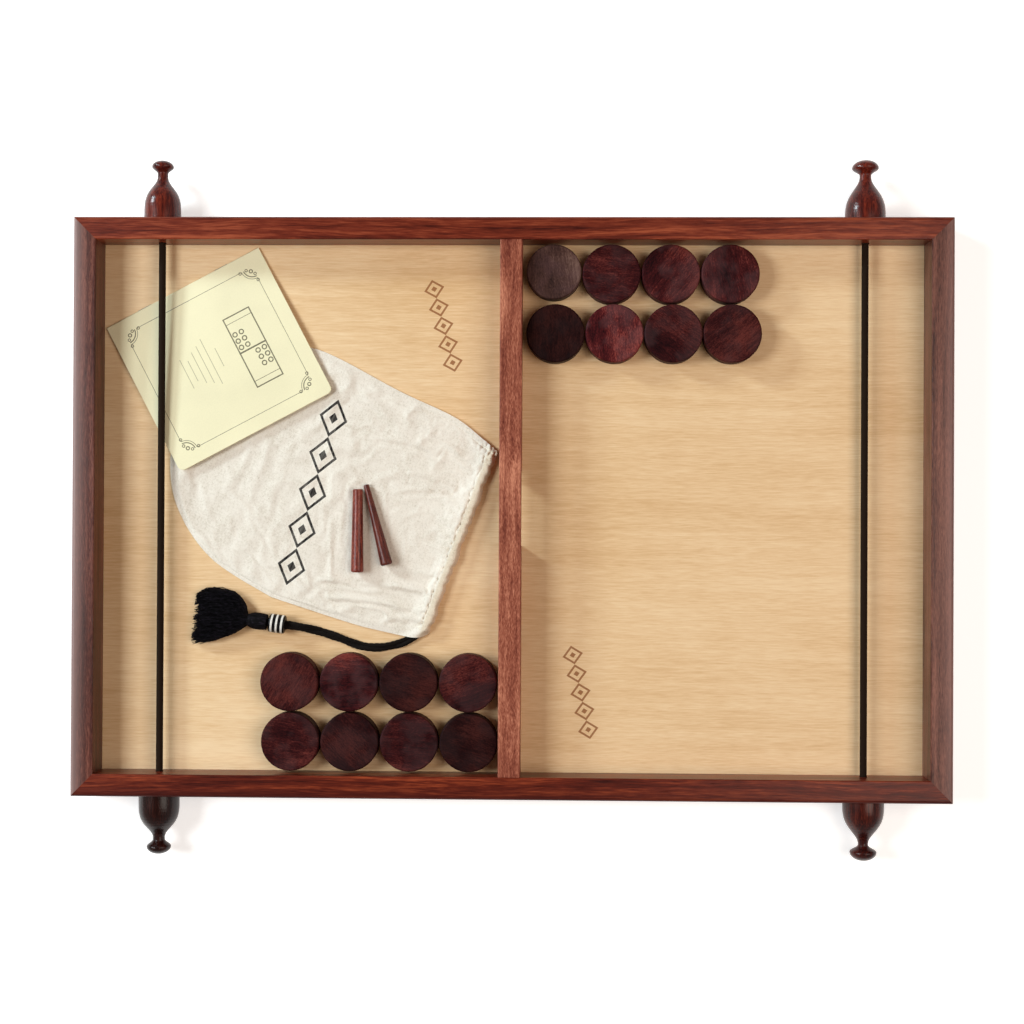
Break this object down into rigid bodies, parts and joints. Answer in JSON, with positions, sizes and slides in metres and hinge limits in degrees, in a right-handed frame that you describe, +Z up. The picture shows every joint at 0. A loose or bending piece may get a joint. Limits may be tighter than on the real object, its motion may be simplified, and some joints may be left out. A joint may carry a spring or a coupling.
{
  "type": "sling puck board",
  "caption": "Wooden tray for slinging pucks through a gate: mitred frame, gated divider, elastic slings under turned finials, pucks, pegs, bag and booklet.",
  "frame": {"origin": "middle of the board on the table it stands on, under the gate", "axes": "+X along the board's length towards the half with the open floor, +Y towards the rear rail, beside which that half's pucks lie, +Z up from the table"},
  "size_m": [0.75, 0.6, 0.042],
  "materials": {
    "long_rail_wood": "satin oil, dark wavy grain along the rail",
    "end_rail_wood": "satin oil, dark grain with a pale sheen",
    "divider_wood": "satin oil, pinkish red-brown grain",
    "floor_wood": "satin varnish, pale fine-grained ply",
    "joinery_wood": "bare planed wood",
    "puck_wood": "satin oil, dark purple-brown grain",
    "grey_puck_wood": "satin oil, grey-brown grain",
    "finial_wood": "polished, dark red-brown",
    "peg_wood": "satin, red-brown",
    "sling_elastic": "tight black braid over elastic",
    "bag_canvas": "unbleached cotton, plain weave",
    "drawcord_braid": "soft black braid",
    "tassel_yarn": "loose black yarn",
    "bead_lacquer": "gloss black with white rings",
    "booklet_paper": "uncoated cream card",
    "page_paper": "uncoated white paper",
    "staple_steel": "drawn steel wire"
  },
  "bodies": {
    "board": {"front_rail": "long_rail_wood", "rear_rail": "long_rail_wood", "left_end_rail": "end_rail_wood", "right_end_rail": "end_rail_wood", "corner_splines": "joinery_wood", "base_panel": "floor_wood", "divider": "divider_wood", "divider_dowels": "joinery_wood", "left_sling_knots": "sling_elastic", "right_sling_knots": "sling_elastic", "bag_back_panel": "bag_canvas", "bag_front_panel": "bag_canvas", "bag_hem": "bag_canvas", "bag_drawcord": "drawcord_braid", "tassel_head": "tassel_yarn", "tassel_skirt": "tassel_yarn"},
    "left_sling": {"left_sling_cord": "sling_elastic"},
    "right_sling": {"right_sling_cord": "sling_elastic"},
    "rear_left_finial": {"rear_left_finial": "finial_wood"},
    "rear_right_finial": {"rear_right_finial": "finial_wood"},
    "front_left_finial": {"front_left_finial": "finial_wood"},
    "front_right_finial": {"front_right_finial": "finial_wood"},
    "right_puck_1": {"right_puck_1": "grey_puck_wood"},
    "right_puck_2": {"right_puck_2": "puck_wood"},
    "right_puck_3": {"right_puck_3": "puck_wood"},
    "right_puck_4": {"right_puck_4": "puck_wood"},
    "right_puck_5": {"right_puck_5": "puck_wood"},
    "right_puck_6": {"right_puck_6": "puck_wood"},
    "right_puck_7": {"right_puck_7": "puck_wood"},
    "right_puck_8": {"right_puck_8": "puck_wood"},
    "left_puck_1": {"left_puck_1": "puck_wood"},
    "left_puck_2": {"left_puck_2": "puck_wood"},
    "left_puck_3": {"left_puck_3": "puck_wood"},
    "left_puck_4": {"left_puck_4": "puck_wood"},
    "left_puck_5": {"left_puck_5": "puck_wood"},
    "left_puck_6": {"left_puck_6": "puck_wood"},
    "left_puck_7": {"left_puck_7": "puck_wood"},
    "left_puck_8": {"left_puck_8": "puck_wood"},
    "peg_a": {"tensioning_peg_a": "peg_wood"},
    "peg_b": {"tensioning_peg_b": "peg_wood"},
    "bead": {"drawcord_bead": "bead_lacquer"},
    "booklet": {"booklet_cover": "booklet_paper", "booklet_pages": "page_paper", "booklet_staples": "staple_steel"}
  },
  "joints": [
    {"name": "left_sling_draw", "type": "slide", "parent": "board", "child": "left_sling", "axis": [-1, 0, 0], "range_m": [0, 0.04], "stiffness_N_per_m": 400, "deforming": ["left_sling_cord"]},
    {"name": "right_sling_draw", "type": "slide", "parent": "board", "child": "right_sling", "axis": [1, 0, 0], "range_m": [0, 0.04], "stiffness_N_per_m": 400, "deforming": ["right_sling_cord"]},
    {"name": "rear_left_finial_pull", "type": "slide", "parent": "board", "child": "rear_left_finial", "axis": [0, 1, 0], "range_m": [0, 0.03]},
    {"name": "rear_right_finial_pull", "type": "slide", "parent": "board", "child": "rear_right_finial", "axis": [0, 1, 0], "range_m": [0, 0.03]},
    {"name": "front_left_finial_pull", "type": "slide", "parent": "board", "child": "front_left_finial", "axis": [0, -1, 0], "range_m": [0, 0.03]},
    {"name": "front_right_finial_pull", "type": "slide", "parent": "board", "child": "front_right_finial", "axis": [0, -1, 0], "range_m": [0, 0.03]},
    {"name": "right_puck_1_lift", "type": "slide", "parent": "board", "child": "right_puck_1", "axis": [0, 0, 1], "range_m": [0, 0.06]},
    {"name": "right_puck_2_lift", "type": "slide", "parent": "board", "child": "right_puck_2", "axis": [0, 0, 1], "range_m": [0, 0.06]},
    {"name": "right_puck_3_lift", "type": "slide", "parent": "board", "child": "right_puck_3", "axis": [0, 0, 1], "range_m": [0, 0.06]},
    {"name": "right_puck_4_glide", "type": "slide", "parent": "board", "child": "right_puck_4", "axis": [1, 0, 0], "range_m": [0, 0.08]},
    {"name": "right_puck_5_glide", "type": "slide", "parent": "board", "child": "right_puck_5", "axis": [0, -1, 0], "range_m": [0, 0.35]},
    {"name": "right_puck_6_glide", "type": "slide", "parent": "board", "child": "right_puck_6", "axis": [0, -1, 0], "range_m": [0, 0.35]},
    {"name": "right_puck_7_glide", "type": "slide", "parent": "board", "child": "right_puck_7", "axis": [0, -1, 0], "range_m": [0, 0.35]},
    {"name": "right_puck_8_glide", "type": "slide", "parent": "board", "child": "right_puck_8", "axis": [0, -1, 0], "range_m": [0, 0.35]},
    {"name": "left_puck_1_lift", "type": "slide", "parent": "board", "child": "left_puck_1", "axis": [0, 0, 1], "range_m": [0, 0.06]},
    {"name": "left_puck_2_lift", "type": "slide", "parent": "board", "child": "left_puck_2", "axis": [0, 0, 1], "range_m": [0, 0.06]},
    {"name": "left_puck_3_lift", "type": "slide", "parent": "board", "child": "left_puck_3", "axis": [0, 0, 1], "range_m": [0, 0.06]},
    {"name": "left_puck_4_glide", "type": "slide", "parent": "board", "child": "left_puck_4", "axis": [-1, 0, 0], "range_m": [0, 0.08]},
    {"name": "left_puck_5_lift", "type": "slide", "parent": "board", "child": "left_puck_5", "axis": [0, 0, 1], "range_m": [0, 0.06]},
    {"name": "left_puck_6_lift", "type": "slide", "parent": "board", "child": "left_puck_6", "axis": [0, 0, 1], "range_m": [0, 0.06]},
    {"name": "left_puck_7_lift", "type": "slide", "parent": "board", "child": "left_puck_7", "axis": [0, 0, 1], "range_m": [0, 0.06]},
    {"name": "left_puck_8_glide", "type": "slide", "parent": "board", "child": "left_puck_8", "axis": [-1, 0, 0], "range_m": [0, 0.08]},
    {"name": "peg_a_lift", "type": "slide", "parent": "board", "child": "peg_a", "axis": [0, 0, 1], "range_m": [0, 0.05]},
    {"name": "peg_b_lift", "type": "slide", "parent": "board", "child": "peg_b", "axis": [0, 0, 1], "range_m": [0, 0.05]},
    {"name": "bead_slide", "type": "slide", "parent": "board", "child": "bead", "axis": [0.9919, -0.1267, 0], "range_m": [0, 0.006]},
    {"name": "booklet_draw", "type": "slide", "parent": "board", "child": "booklet", "axis": [0.9998, 0, 0.019], "range_m": [0, 0.14]}
  ]
}
